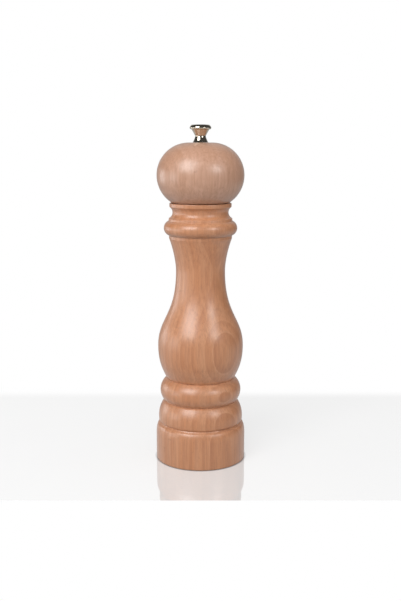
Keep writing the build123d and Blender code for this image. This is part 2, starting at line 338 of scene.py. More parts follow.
@dataclass(frozen=True)
class Beech:
    """Turned beech under a thin satin varnish; bores and the foot are left raw.

    Sizes are in millimetres. The log's heart runs upright beside the piece, so that its rings
    come out as ovals on a bulge and as upright lines elsewhere. Spans are parts of a year's
    growth. In late_share and early_share the second number is added where the rings are bold,
    which is near ring_edge.
    """

    name: str
    heart: Point
    ring_w: float
    ring_edge: float
    pale: Triple
    warm: Triple
    late: Triple
    seed: float
    fleck: Triple = srgb(124, 76, 52)
    early: Triple = srgb(226, 176, 142)
    end_tint: Triple = srgb(200, 160, 134)
    raw_tint: Triple = srgb(214, 178, 142)
    sway: Noise = Noise(0.045, 0.016, 1.0)
    sway_w: float = 2.2
    streaks: Noise = Noise(0.3, 0.012, 3.0, 0.6)
    fibres: Noise = Noise(0.85, 0.04, 2.0, 0.6)
    grain: Noise = Noise(2.6, 0.11, 3.0, 0.65)
    pores: Noise = Noise(5.5, 0.5, 1.0)
    clouds: Noise = Noise(0.05, 0.03, 2.0)
    ray_scale: Triple = (0.12, 1.5, 0.36)
    drift_scale: float = 0.11
    drift: float = 0.5
    lathe_scale: float = 2.4
    late_span: Span = (0.3, 0.93, 0.95, 1.0)
    early_span: Span = (0.01, 0.03, 0.05, 0.16)
    bold_rings: Point = (1.2, 0.5)
    pore_step: Point = (0.6, 0.78)
    ray_step: Point = (0.63, 0.74)
    end_step: Point = (0.6, 0.97)
    warm_step: Point = (0.6, 1.7)
    warm_mix: Triple = (1.25, 0.45, 0.6)
    late_share: Point = (0.18, 0.16)
    early_share: Point = (0.05, 0.2)
    end_share: float = 0.3
    grain_mix: Triple = (0.8, 1.3, 0.16)
    ray_share: float = 0.16
    pore_share: float = 0.14
    raw_share: float = 0.45
    raw_bores: tuple[Point, ...] = ((13.3, 171.3), (21.7, 8.7))
    raw_edge: float = 0.1
    raw_foot: Point = (0.25, 0.1)
    carving: Span = (0.5, 0.55, 0.3, 0.35)
    carving_depth: float = 0.06
    rough_mix: Triple = (0.16, 0.1, 0.28)
    cloud_rough: float = 0.06
    roughness: float = 0.46
    coat: float = 1.0

    def material(self) -> bpy.types.Material:
        """Build the wood.

        Returns:
            The material.
        """
        shader = Surface(self.name)
        x, y, z = shader.places()
        aside, behind = x - self.heart[0], y - self.heart[1]
        sway = self.sway.on(shader, x + self.seed, y, z) - 0.5
        ring_r = aside.hypot(behind) + sway * self.sway_w
        around = behind.turn(aside) * math.hypot(*self.heart)

        drift = shader.noise(ring_r * self.drift_scale, self.seed, 0.0, 1.0) - 0.5
        years = (ring_r - self.ring_edge) / self.ring_w + drift * self.drift
        season = years.fract()
        bold = years.size().rise(*self.bold_rings)
        late, early = (
            season.band(*span) * (bold * more + share)
            for span, (share, more) in (
                (self.late_span, self.late_share), (self.early_span, self.early_share)
            )
        )
        year_tone = shader.pick(years.floor() + self.seed)

        streak = self.streaks.on(shader, x + self.seed, y, z)
        fibre = self.fibres.on(shader, x, y, z + self.seed)
        grain = self.grain.on(shader, x, y, z + self.seed)
        pores = self.pores.on(shader, x, y, z).rise(*self.pore_step)
        cloud = self.clouds.on(shader, x + self.seed, y, z)
        over, along, up = self.ray_scale
        rays = shader.noise(ring_r * over, around * along, (z + self.seed) * up, 1.0).rise(*self.ray_step)
        end_grain = shader.facing_up().rise(*self.end_step)

        by_streak, by_year, by_cloud = self.warm_mix
        warmth = streak * by_streak + year_tone * by_year + cloud * by_cloud
        color = shader.blend(warmth.rise(*self.warm_step), self.pale, self.warm)
        color = shader.blend(late, color, self.late)
        color = shader.blend(early, color, self.early)
        color = shader.blend(end_grain * self.end_share, color, self.end_tint)
        by_grain, by_fibre, always = self.grain_mix
        dark = (grain - 0.5) * by_grain + (fibre - 0.5) * by_fibre + always
        color = shader.blend(dark, color, self.late)
        color = shader.blend(rays * self.ray_share + pores * self.pore_share, color, self.fleck)

        radius = x.hypot(y)
        raw = z.rise(*self.raw_foot)
        for bore_r, top_z in self.raw_bores:
            inside = radius.rise(bore_r + self.raw_edge, bore_r) * z.rise(top_z + self.raw_edge, top_z)
            raw = raw.most(inside)
        color = shader.blend(raw * self.raw_share, color, self.raw_tint)

        marks = shader.noise(radius * self.lathe_scale, z * self.lathe_scale, self.seed, 2.0)
        grain_h, ray_h, pore_h, mark_h = self.carving
        height = grain * grain_h - rays * ray_h - pores * pore_h + marks * mark_h
        by_grain, by_rays, by_raw = self.rough_mix
        rough = (grain - 0.5) * by_grain + cloud * self.cloud_rough + rays * by_rays + raw * by_raw
        return shader.dress({
            "Base Color": color,
            "Roughness": rough + self.roughness - self.cloud_rough / 2,
            "Coat Weight": (1.0 - raw) * self.coat,
            "Coat Roughness": 0.33,
            "Coat IOR": 1.7,
            "IOR": 1.5,
            "Normal": shader.relief(height, self.carving_depth),
        })


class Lay(Enum):
    """Which way the fine marks of a metal run."""

    TURNED = "rings about the upright axis"
    DRAWN = "upright lines"
    ROLLED = "lines along the bridge"


@dataclass(frozen=True)
class Steel:
    """A bare or plated steel with fine working marks and soft clouding; sizes in millimetres."""

    name: str
    tint: Triple
    shade: Triple
    roughness: float
    spread: float
    lay: Lay = Lay.TURNED
    mark_pitch: float = 0.25
    mark_depth: float = 0.01
    draw_out: float = 0.04
    cloud_size: float = 5.0
    cloud_step: Point = (0.35, 0.7)
    cloud_share: float = 0.7
    specks: Noise = Noise(1.9, 1.9, 1.0)
    speck_step: Point = (0.66, 0.8)
    speck_share: float = 0.3
    speck_rough: float = 0.06

    def material(self) -> bpy.types.Material:
        """Build the metal.

        Returns:
            The material.
        """
        shader = Surface(self.name)
        x, y, z = shader.places()
        fine = 1 / self.mark_pitch
        if self.lay is Lay.TURNED:
            marks = shader.noise(x.hypot(y) * fine, z * fine, 0.0, 2.0)
        elif self.lay is Lay.DRAWN:
            marks = shader.noise(x * fine, y * fine, z * fine * self.draw_out, 2.0)
        else:
            marks = shader.noise(x * fine * self.draw_out, y * fine, z * fine, 2.0)
        cloud = Noise(1 / self.cloud_size, 1 / self.cloud_size, 3.0, 0.6).on(shader, x, y, z)
        specks = self.specks.on(shader, x, y, z).rise(*self.speck_step)
        dull = cloud.rise(*self.cloud_step) * self.cloud_share + specks * self.speck_share
        rough = (marks - 0.5) * self.spread + (cloud - 0.5) * self.spread + specks * self.speck_rough
        return shader.dress({
            "Base Color": shader.blend(dull, self.tint, self.shade),
            "Metallic": 1.0,
            "Roughness": rough + self.roughness,
            "Normal": shader.relief(marks, self.mark_depth),
        })


BODY_BEECH = Beech(
    "beech_body",
    heart=(76.4, -101.4),
    ring_w=3.3,
    ring_edge=101.15,
    pale=srgb(215, 154, 112),
    warm=srgb(205, 137, 91),
    late=srgb(168, 103, 66),
    seed=11.0,
)
# The head's pale, warm and late colours are paler and greyer than the body's: partly a different blank of
# beech, partly the varnish's sheen painted into the colour.
HEAD_BEECH = Beech(
    "beech_head",
    heart=(-118.0, -64.0),
    ring_w=3.9,
    ring_edge=100.0,
    pale=srgb(210, 164, 138),
    warm=srgb(201, 152, 122),
    late=srgb(171, 119, 87),
    seed=47.0,
)
POLISHED_STEEL = Steel(
    "polished_steel", (0.83, 0.75, 0.62), (0.77, 0.69, 0.55), roughness=0.05, spread=0.03, mark_depth=0.001
)
PLATED_STEEL = Steel("plated_steel", (0.62, 0.63, 0.64), (0.50, 0.51, 0.52), roughness=0.3, spread=0.18)
STRIP_STEEL = Steel(
    "plated_strip_steel", (0.62, 0.63, 0.64), (0.48, 0.49, 0.50), roughness=0.32, spread=0.2, lay=Lay.ROLLED
)
DRAWN_STEEL = Steel(
    "plated_bar_steel", (0.64, 0.64, 0.65), (0.50, 0.50, 0.51), roughness=0.28, spread=0.16, lay=Lay.DRAWN
)
HARDENED_STEEL = Steel(
    "hardened_steel",
    (0.30, 0.30, 0.31),
    (0.16, 0.15, 0.15),
    roughness=0.42,
    spread=0.22,
    cloud_size=2.5,
    mark_depth=0.02,
)
SPRING_STEEL = Steel(
    "spring_steel",
    (0.52, 0.52, 0.53),
    (0.36, 0.36, 0.37),
    roughness=0.26,
    spread=0.16,
    lay=Lay.ROLLED,
    cloud_size=2.0,
)
SCREW_STEEL = Steel(
    "screw_steel", (0.66, 0.63, 0.56), (0.52, 0.49, 0.43), roughness=0.3, spread=0.16, cloud_size=1.5
)


# Meshes


def mixed(shares: Sequence[float], points: Sequence[Point]) -> Point:
    """Sum of points, each times its share."""
    return tuple(sum(share * point[i] for share, point in zip(shares, points)) for i in (0, 1))


class Profile:
    """Outline drawn run by run as (radius, height) in millimetres, with eased corners."""

    CURVE_STEPS = 28
    EASE_STEPS = 4

    def __init__(self, radius: float, height: float) -> None:
        """Start at a point on a straight run."""
        self.points: list[Point] = [(radius, height)]
        self.eases: list[tuple[int, float]] = []

    def eased(self, ease: float) -> "Profile":
        """Note how the corner just reached is eased.

        Args:
            ease: How far from it the rounding starts.

        Returns:
            The profile itself.
        """
        if ease:
            self.eases.append((len(self.points) - 1, ease))
        return self

    def line(self, radius: float, height: float, ease: float = 0.0) -> "Profile":
        """Go straight to a corner, which is then eased."""
        self.points.append((radius, height))
        return self.eased(ease)

    def curve(self, leave: Point, arrive: Point, end: Point, ease: float = 0.0) -> "Profile":
        """Go along a cubic curve.

        Args:
            leave: Control point by the start.
            arrive: Control point by the end.
            end: Where the curve ends.
            ease: How far from the end corner its rounding starts.

        Returns:
            The profile itself.
        """
        start = self.points[-1]
        for step in range(1, self.CURVE_STEPS + 1):
            t = step / self.CURVE_STEPS
            shares = ((1 - t) ** 3, 3 * t * (1 - t) ** 2, 3 * t * t * (1 - t), t**3)
            self.points.append(mixed(shares, (start, leave, arrive, end)))
        return self.eased(ease)

    def bulge(self, radius: float, height: float, arc_r: float, ease: float = 0.0) -> "Profile":
        """Go along an arc that swells to the right of the way, or to its left where arc_r < 0.

        Args:
            radius: Distance of the end from the axis.
            height: Height of the end.
            arc_r: Radius of the arc.
            ease: How far from the end corner its rounding starts.

        Returns:
            The profile itself.
        """
        start, end = Vector(self.points[-1]), Vector((radius, height))
        chord = end - start
        half = math.asin(chord.length / (2 * arc_r))
        middle = (start + end) / 2 + Vector((-chord.y, chord.x)) / math.tan(half) / 2
        first = start - middle
        for step in range(1, self.CURVE_STEPS + 1):
            angle = 2 * half * step / self.CURVE_STEPS
            turned = Vector((
                first.x * math.cos(angle) - first.y * math.sin(angle),
                first.x * math.sin(angle) + first.y * math.cos(angle),
            ))
            self.points.append(tuple(middle + turned))
        return self.eased(ease)

    def outline(self) -> list[Point]:
        """Put every point in order, with a short curve at each eased corner.

        Returns:
            The points, as (radius, height).
        """
        along = [0.0]
        for a, b in zip(self.points, self.points[1:]):
            along.append(along[-1] + math.dist(a, b))
        cuts = [(along[i] - ease, along[i] + ease, self.points[i]) for i, ease in self.eases]
        kept = [
            (way, point)
            for way, point in zip(along, self.points)
            if not any(low < way < high for low, high, _ in cuts)
        ]
        for low, high, corner in cuts:
            ends = (self.at(along, low), corner, self.at(along, high))
            for step in range(self.EASE_STEPS + 1):
                t = step / self.EASE_STEPS
                shares = ((1 - t) ** 2, 2 * t * (1 - t), t * t)
                kept.append((low + (high - low) * t, mixed(shares, ends)))
        kept.sort(key=lambda item: item[0])
        return [point for _, point in kept]

    def at(self, along: Sequence[float], way: float) -> Point:
        """Find the point a given way along the outline.

        Args:
            along: How far along each corner is.
            way: How far along the point is.

        Returns:
            The point.
        """
        for i in range(1, len(along)):
            if way <= along[i]:
                share = (way - along[i - 1]) / (along[i] - along[i - 1])
                a, b = self.points[i - 1], self.points[i]
                return (a[0] + (b[0] - a[0]) * share, a[1] + (b[1] - a[1]) * share)
        return self.points[-1]


def shade_smooth(mesh: bpy.types.Mesh, sharp_deg: float) -> None:
    """Shade a mesh smooth except at edges that bend more than an angle."""
    mesh.polygons.foreach_set("use_smooth", [True] * len(mesh.polygons))
    mesh.set_sharp_from_angle(angle=math.radians(sharp_deg))


class Skin:
    """Vertices and faces of one mesh, gathered loop by loop in millimetres."""

    def __init__(self) -> None:
        """Start with nothing."""
        self.vertices: list[Triple] = []
        self.faces: list[tuple[int, ...]] = []

    def loop(self, points: Iterable[Sequence[float]]) -> list[int]:
        """Add the points of one loop.

        Args:
            points: The points, as x, y and z.

        Returns:
            Their places in the mesh.
        """
        first = len(self.vertices)
        self.vertices.extend(tuple(c * MM for c in point) for point in points)
        return list(range(first, len(self.vertices)))

    def around(self, radius_at: Callable[[float], float], height: float, count: int) -> list[int]:
        """Add a level loop about the axis whose radius depends on the turn from 0 to 1."""
        spokes = ((radius_at(i / count), math.tau * i / count) for i in range(count))
        return self.loop((radius * math.cos(a), radius * math.sin(a), height) for radius, a in spokes)

    def ring(self, radius: float, height: float, count: int) -> list[int]:
        """Add a level ring about the axis, or a single point where it has no radius."""
        return self.around(lambda _: radius, height, 1 if radius < TINY else count)

    def bridge(self, low: Sequence[int], high: Sequence[int]) -> None:
        """Join two loops of as many points, or a loop and a single point.

        Args:
            low: Places of the first loop's points.
            high: Places of the second loop's points.
        """
        count = max(len(low), len(high))
        if count == 1:
            return
        for i in range(count):
            k = (i + 1) % count
            corners = [low[i % len(low)], low[k % len(low)], high[k % len(high)], high[i % len(high)]]
            self.faces.append(tuple(dict.fromkeys(corners)))

    def stack(self, loops: Sequence[Sequence[int]]) -> None:
        """Join each loop to the next."""
        for low, high in zip(loops, loops[1:]):
            self.bridge(low, high)

    def build(self, name: str, sharp_deg: float = SHARP_DEG) -> bpy.types.Object:
        """Make the mesh object.

        Args:
            name: Name of the object.
            sharp_deg: Edges that bend more than this stay sharp.

        Returns:
            The object, linked to the scene.
        """
        mesh = bpy.data.meshes.new(name)
        mesh.from_pydata(self.vertices, [], self.faces)
        work = bmesh.new()
        work.from_mesh(mesh)
        bmesh.ops.recalc_face_normals(work, faces=work.faces)
        work.to_mesh(mesh)
        work.free()
        shade_smooth(mesh, sharp_deg)
        piece = bpy.data.objects.new(name, mesh)
        bpy.context.scene.collection.objects.link(piece)
        return piece


def turned(name: str, outline: Sequence[Point], count: int) -> bpy.types.Object:
    """Turn a closed outline about the upright axis.

    Args:
        name: Name of the object.
        outline: Points as (radius, height) in millimetres.
        count: Points in each ring.

    Returns:
        The object.
    """
    skin = Skin()
    loops = [skin.ring(radius, height, count) for radius, height in outline]
    skin.stack([*loops, loops[0]])
    return skin.build(name)


def carved(piece: bpy.types.Object, cutter: bpy.types.Object) -> bpy.types.Object:
    """Cut a solid out of a piece and throw the solid away.

    Args:
        piece: The piece to cut.
        cutter: The solid to cut with.

    Returns:
        The piece itself.
    """
    cut = piece.modifiers.new("cut", "BOOLEAN")
    cut.operation = "DIFFERENCE"
    cut.solver = "EXACT"
    cut.object = cutter
    graph = bpy.context.evaluated_depsgraph_get()
    whole = bpy.data.meshes.new_from_object(piece.evaluated_get(graph))
    piece.modifiers.clear()
    piece.data = whole
    shade_smooth(whole, SHARP_DEG)
    bpy.data.objects.remove(cutter)
    return piece


def bar(name: str, size: Triple, centre: Triple) -> bpy.types.Object:
    """Make a square-edged bar for cutting a slot.

    Args:
        name: Name of the object.
        size: Its sides in millimetres.
        centre: Its middle in millimetres.

    Returns:
        The object.
    """
    skin = Skin()
    ends = [
        skin.loop(
            tuple(middle + share * side for middle, share, side in zip(centre, (u, v, end), size))
            for u, v in SQUARE
        )
        for end in (-0.5, 0.5)
    ]
    skin.stack(ends)
    skin.faces.extend(tuple(end) for end in ends)
    return skin.build(name)


def dress_piece(
    piece: bpy.types.Object, material: bpy.types.Material, body: str, slot: str, *nodes: str
) -> None:
    """Give a new piece its finish and its body, and hide the CAD nodes that it stands for.

    Args:
        piece: The new piece.
        material: Its finish.
        body: CAD body that it rides on.
        slot: Material slot of the record; not used.
        nodes: CAD nodes that it replaces.
    """
    piece.data.materials.clear()
    piece.data.materials.append(material)
    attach(piece, body)
    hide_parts(*nodes)
    LOG.info("%s replaces %s and rides on %s", piece.name, ", ".join(nodes), body)


def refinish_node(node: str, finish: Steel, edge: float) -> None:
    """Give a CAD node its finish and break its edges.

    Args:
        node: Name of the node.
        finish: Its finish.
        edge: Width of the broken edges in millimetres.
    """
    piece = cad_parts[node]
    piece.data.materials.clear()
    piece.data.materials.append(finish.material())
    weld = piece.modifiers.new("weld", "WELD")
    weld.merge_threshold = WELD_GAP * MM
    edges = piece.modifiers.new("edges", "BEVEL")
    edges.width = edge * MM
    edges.segments = 2
    edges.limit_method = "ANGLE"
    edges.angle_limit = math.radians(BROKEN_DEG)
    normals = piece.modifiers.new("normals", "WEIGHTED_NORMAL")
    normals.keep_sharp = True
    LOG.info("%s keeps its solid, edges broken by %.2f mm", node, edge)


# Sub-assemblies


@dataclass
class Body:
    """Turned outside with its bores, from the foot up; sizes in millimetres.

    An arc is the radius of a bead or, below 0, of the cove. A reach is how far the control
    points of a curve are from its ends, and seam is where the outline starts and ends on the
    foot, outside the recess.
    """

    plinth_r: float = 29.6
    foot_break: float = 0.8
    plinth_side_z: float = 17.25
    shoulder: Point = (27.3, 24.3)
    foot_groove: Point = (26.7, 25.2)
    lower_bead: Point = (27.72, 26.35)
    lower_bead_top: Point = (24.63, 39.2)
    lower_bead_arc: float = 17.9
    bead_groove: Point = (23.6, 39.95)
    upper_bead: Point = (24.63, 40.7)
    upper_bead_top: Point = (23.2, 54.4)
    upper_bead_arc: float = 10.0
    belly_groove: Point = (21.9, 55.3)
    belly_foot: Point = (22.7, 55.7)
    belly_foot_reach: Point = (2.95, 5.65)
    belly: Point = (28.05, 76.85)
    belly_reach: Point = (10.0, 17.85)
    waist: Point = (16.0, 126.55)
    waist_reach: Point = (29.5, 5.9)
    neck: Point = (20.4, 147.85)
    neck_reach: Point = (2.4, 6.2)
    neck_bead_z: float = 149.7
    neck_bead_top: Point = (20.6, 159.05)
    neck_bead_arc: float = 5.0
    cove_foot: Point = (20.5, 160.7)
    cove_arc: float = -4.15
    rim: Point = (20.05, 168.0)
    rim_top_z: float = 170.4
    joint_land_r: float = 16.5
    joint_z: float = 170.9
    recess: Point = (21.5, 8.5)
    seat_r: float = 15.6
    ring_top_z: float = 20.5
    pocket: Point = (14.0, 39.2)
    bore: Point = (11.0, 42.2)
    socket: Point = (12.75, 157.9)
    seam: Point = (4.0, 3.9)
    groove_ease: float = 0.12
    lip_ease: float = 0.3
    arris_ease: float = 0.4
    count: int = 176

    def outline(self) -> list[Point]:
        """Draw the outside and the bores as one closed outline.

        Returns:
            Points as (radius, height).
        """
        soft, lip, edge = self.groove_ease, self.lip_ease, self.arris_ease
        side_w, side_h = self.plinth_r - self.shoulder[0], self.shoulder[1] - self.plinth_side_z
        profile = Profile(self.recess[0] + self.seam[0], 0.0)
        profile.line(self.plinth_r, 0.0, self.foot_break).line(self.plinth_r, self.plinth_side_z)
        profile.curve(
            (self.plinth_r, self.plinth_side_z + side_h * QUARTER),
            (self.shoulder[0] + side_w * QUARTER, self.shoulder[1]),
            self.shoulder,
            lip,
        )
        profile.line(*self.foot_groove, soft).line(*self.lower_bead, lip)
        profile.bulge(*self.lower_bead_top, self.lower_bead_arc, lip).line(*self.bead_groove, soft)
        profile.line(*self.upper_bead, lip).bulge(*self.upper_bead_top, self.upper_bead_arc, lip)
        profile.line(*self.belly_groove, soft).line(*self.belly_foot, lip / 2)
        (foot_r, foot_z), (belly_r, belly_z), (waist_r, waist_z) = self.belly_foot, self.belly, self.waist
        (out, up), (below, above) = self.belly_foot_reach, self.belly_reach
        profile.curve((foot_r + out, foot_z + up), (belly_r, belly_z - below), self.belly)
        profile.curve((belly_r, belly_z + above), (waist_r, waist_z - self.waist_reach[0]), self.waist)
        (neck_r, neck_z), (inward, down) = self.neck, self.neck_reach
        arrive = (neck_r - inward, neck_z - down)
        profile.curve((waist_r, waist_z + self.waist_reach[1]), arrive, self.neck, soft)
        profile.line(neck_r, self.neck_bead_z, soft).bulge(*self.neck_bead_top, self.neck_bead_arc, soft)
        profile.line(*self.cove_foot, lip).bulge(*self.rim, self.cove_arc, lip)
        profile.line(self.rim[0], self.rim_top_z, edge).line(self.joint_land_r, self.rim_top_z, soft)
        profile.line(self.joint_land_r, self.joint_z, soft).line(self.socket[0], self.joint_z, edge)
        profile.line(*self.socket, edge / 4).line(self.bore[0], self.socket[1], edge / 4)
        profile.line(*self.bore).line(*self.pocket).line(self.pocket[0], self.ring_top_z)
        profile.line(self.seat_r, self.ring_top_z).line(self.seat_r, self.recess[1], edge / 4)
        profile.line(*self.recess, edge / 4).line(self.recess[0], 0.0, edge)
        profile.line(self.recess[0] + self.seam[1], 0.0)
        return profile.outline()

    def build(self) -> None:
        """Turn the body and dress it."""
        piece = turned("turned_body", self.outline(), self.count)
        dress_piece(piece, BODY_BEECH.material(), "body", "beech", "body")


@dataclass
class Head:
    """Flattened ball with the spigot that turns in the body's socket; sizes in millimetres."""

    ball_r: float = 20.6
    ball_offset: float = 7.5
    ball_z: float = 188.05
    foot_z: float = 170.95
    edge_break: float = 0.4
    edge_ease: float = 0.2
    crown_ease: float = 0.4
    shoulder_ease: float = 0.15
    chamfer: float = 0.7
    spigot: Point = (12.67, 159.6)
    seam: Point = (1.0, 0.9)
    hole_r: float = 3.7
    arc_steps: int = 64
    count: int = 176

    def outline(self) -> list[Point]:
        """Draw the ball, its hole and the spigot as one closed outline.

        Returns:
            Points as (radius, height).
        """
        edge_z = self.foot_z + self.edge_break
        low = -math.asin((self.ball_z - edge_z) / self.ball_r)
        crown_z = self.ball_z + self.ball_r
        edge_r = self.ball_offset + self.ball_r * math.cos(low)
        profile = Profile(self.spigot[0] + self.seam[0], self.foot_z)
        profile.line(edge_r - self.edge_break, self.foot_z, self.edge_ease)
        profile.line(edge_r, edge_z, self.edge_ease)
        for step in range(1, self.arc_steps + 1):
            angle = low + (math.pi / 2 - low) * step / self.arc_steps
            profile.line(
                self.ball_offset + self.ball_r * math.cos(angle), self.ball_z + self.ball_r * math.sin(angle)
            )
        profile.line(self.hole_r, crown_z, self.crown_ease).line(self.hole_r, self.spigot[1], self.edge_ease)
        profile.line(*self.spigot, self.chamfer).line(self.spigot[0], self.foot_z, self.shoulder_ease)
        profile.line(self.spigot[0] + self.seam[1], self.foot_z)
        return profile.outline()

    def build(self) -> None:
        """Turn the head and dress it."""
        piece = turned("turned_head", self.outline(), self.count)
        dress_piece(piece, HEAD_BEECH.material(), "head", "beech", "head")


@dataclass
class FinialNut:
    """Polished nut on the crown: flared foot, cupped underside, bevelled top; sizes in millimetres."""

    base_z: float = 208.7
    height: float = 11.25
    foot_r: float = 5.05
    neck: Point = (3.4, 3.7)
    neck_h: float = 0.5
    cup: Point = (5.5, 7.9)
    lip: Point = (6.7, 8.45)
    rim: Point = (6.9, 9.15)
    top_r: float = 5.6
    crown_h: float = 0.25
    edge_r: float = 3.1
    flare_r: float = 12.0
    bore_r: float = 2.05
    bore_h: float = 8.8
    bore_ease: float = 0.25
    foot_ease: float = 0.12
    ease: float = 0.15
    cup_ease: float = 0.2
    top_ease: float = 0.1
    sharp_deg: float = 25.0
    count: int = 128

    def outline(self) -> list[Point]:
        """Draw the nut and its blind bore, from the axis round to the axis.

        Returns:
            Points as (radius, height).
        """
        base = self.base_z
        top = base + self.height
        profile = Profile(0.0, base + self.bore_h)
        profile.line(self.bore_r, base + self.bore_h).line(self.bore_r, base, self.bore_ease)
        profile.line(self.foot_r, base, self.foot_ease)
        profile.bulge(self.neck[0], base + self.neck[1], -self.flare_r, self.ease)
        profile.line(self.neck[0], base + self.neck[1] + self.neck_h, self.ease)
        profile.line(self.cup[0], base + self.cup[1], self.cup_ease)
        profile.line(self.lip[0], base + self.lip[1], self.ease)
        profile.line(self.rim[0], base + self.rim[1], self.ease)
        profile.bulge(self.top_r, top - self.crown_h, self.edge_r, self.top_ease)
        profile.line(self.top_r / 2, top - self.crown_h / 4).line(0.0, top)
        return profile.outline()

    def build(self) -> None:
        """Turn the nut and dress it."""
        skin = Skin()
        skin.stack([skin.ring(radius, height, self.count) for radius, height in self.outline()])
        piece = skin.build("finial_nut", self.sharp_deg)
        dress_piece(piece, POLISHED_STEEL.material(), "knob", "polished_steel", "knob")


@dataclass(frozen=True)
class Thread:
    """Right-hand thread; sizes in millimetres. Its ridge is cut off at crest and root."""

    pitch: float
    steepness: float = 1.5
    root: float = 0.2

    def loop(self, skin: Skin, height: float, minor: float, major: float, count: int) -> list[int]:
        """Add one level loop of the thread.

        Args:
            skin: Mesh to add it to.
            height: Its height.
            minor: Radius at the root.
            major: Radius at the crest.
            count: Points in the loop.

        Returns:
            Places of the points in the mesh.
        """

        def radius_at(turn: float) -> float:
            """Radius at a turn from 0 to 1."""
            ridge = 1.0 - abs((height / self.pitch - turn) % 1.0 * 2.0 - 1.0)
            return minor + (major - minor) * min(1.0, max(0.0, ridge * self.steepness - self.root))

        return skin.around(radius_at, height, count)


@dataclass
class Spindle:
    """Square shaft with its thread, and the works that ride on it; sizes in millimetres."""

    half_w: float = 2.5
    corner: float = 0.5
    foot_z: float = 8.55
    thread_z: float = 194.25
    top_z: float = 216.25
    thread_r: float = 2.0
    thread_depth: float = 0.4
    thread: Thread = Thread(pitch=0.7)
    end_r: float = 2.35
    end_z: float = 5.95
    end_break: float = 0.3
    groove_r: float = 1.8
    groove_h: float = 0.8
    washer_edge: float = 0.12
    cone_edge: float = 0.06
    clip_edge: float = 0.08
    sharp_deg: float = 30.0
    count: int = 48
    steps_per_pitch: int = 8

    def square_loop(self, skin: Skin, height: float) -> list[int]:
        """Add one loop of the bar's rounded square.

        Args:
            skin: Mesh to add it to.
            height: Its height.

        Returns:
            Places of its points in the mesh.
        """
        points = []
        inner = self.half_w - self.corner
        for i in range(self.count):
            angle = math.tau * i / self.count
            reach = max(abs(math.cos(angle)), abs(math.sin(angle)))
            across = (math.cos(angle) / reach * self.half_w, math.sin(angle) / reach * self.half_w)
            held = [max(-inner, min(inner, c)) for c in across]
            away = Vector(across) - Vector(held)
            if away.length > self.corner:
                away *= self.corner / away.length
            points.append((held[0] + away.x, held[1] + away.y, height))
        return skin.loop(points)

    def thread_loop(self, skin: Skin, height: float) -> list[int]:
        """Add one loop of the threaded end, which runs out at both its ends.

        Args:
            skin: Mesh to add it to.
            height: Its height.

        Returns:
            Places of its points in the mesh.
        """
        minor = self.thread_r - self.thread_depth
        pitch = self.thread.pitch
        runout = min(1.0, (self.top_z - height) / pitch, (height - self.thread_z) / pitch)
        major = minor + self.thread_depth * max(0.0, runout)
        return self.thread.loop(skin, height, minor, major, self.count)

    def shaft(self) -> None:
        """Build the shaft from its turned lower end to its threaded top."""
        skin = Skin()
        groove_z = self.foot_z - self.groove_h
        lower_end = (
            (0.0, self.end_z),
            (self.end_r - self.end_break, self.end_z),
            (self.end_r, self.end_z + self.end_break),
            (self.end_r, groove_z),
            (self.groove_r, groove_z),
            (self.groove_r, self.foot_z),
        )
        loops = [skin.ring(radius, height, self.count) for radius, height in lower_end]
        loops += [self.square_loop(skin, height) for height in (self.foot_z, self.thread_z)]
        thread_h = self.top_z - self.thread_z
        steps = int(thread_h / self.thread.pitch * self.steps_per_pitch)
        for step in range(steps + 1):
            loops.append(self.thread_loop(skin, self.thread_z + thread_h * step / steps))
        loops.append(skin.ring(0.0, self.top_z, self.count))
        skin.stack(loops)
        piece = skin.build("square_shaft", self.sharp_deg)
        dress_piece(piece, DRAWN_STEEL.material(), "spindle", "plated_steel", "shaft")

    def build(self) -> None:
        """Build the shaft and finish the burr, washer and clip on it."""
        self.shaft()
        refinish_node("cone_washer", PLATED_STEEL, self.washer_edge)
        refinish_node("grinding_cone", HARDENED_STEEL, self.cone_edge)
        refinish_node("cone_clip", SPRING_STEEL, self.clip_edge)


@dataclass
class Spring:
    """Pressure spring with closed ends, ground flat, under its seat; sizes in millimetres."""

    base_z: float = 23.85
    height: float = 13.0
    coil_r: float = 5.2
    wire_d: float = 1.1
    ground_share: float = 0.2
    dead_turns: float = 0.85
    live_turns: float = 3.0
    seat_edge: float = 0.12
    sharp_deg: float = 50.0
    wire_points: int = 16
    steps_per_turn: int = 48

    def centre(self, turn: float) -> Vector:
        """Find the middle of the wire after a number of turns.

        Args:
            turn: Turns from the lower end.

        Returns:
            The point, in millimetres.
        """
        whole = 2 * self.dead_turns + self.live_turns
        ground = self.wire_d * self.ground_share
        dead_rise = self.wire_d * self.dead_turns
        live_rise = self.height - 2 * (ground + dead_rise)
        if turn < self.dead_turns:
            rise = ground + self.wire_d * turn
        elif turn > whole - self.dead_turns:
            rise = self.height - ground - self.wire_d * (whole - turn)
        else:
            rise = ground + dead_rise + live_rise * (turn - self.dead_turns) / self.live_turns
        angle = math.tau * turn
        return Vector((self.coil_r * math.cos(angle), self.coil_r * math.sin(angle), self.base_z + rise))

    def coil(self) -> None:
        """Sweep the wire between the seat and the cone."""
        skin = Skin()
        whole = 2 * self.dead_turns + self.live_turns
        steps = int(whole * self.steps_per_turn)
        loops = []
        for step in range(steps + 1):
            middle = self.centre(whole * step / steps)
            outward = Vector((middle.x, middle.y, 0.0)).normalized()
            points = []
            for i in range(self.wire_points):
                angle = math.tau * i / self.wire_points
                towards = outward * math.cos(angle) + Vector((0.0, 0.0, math.sin(angle)))
                point = middle + self.wire_d / 2 * towards
                point.z = max(self.base_z, min(self.base_z + self.height, point.z))
                points.append(point)
            loops.append(skin.loop(points))
        skin.stack(loops)
        skin.faces.extend((tuple(loops[0]), tuple(loops[-1])))
        piece = skin.build("pressure_spring", self.sharp_deg)
        piece.data.materials.append(SPRING_STEEL.material())
        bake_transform(piece)
        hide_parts("spring")
        LOG.info("pressure_spring replaces spring and stretches between carrier and spindle")

    def build(self) -> None:
        """Build the spring and finish its seat."""
        self.coil()
        refinish_node("spring_seat", PLATED_STEEL, self.seat_edge)


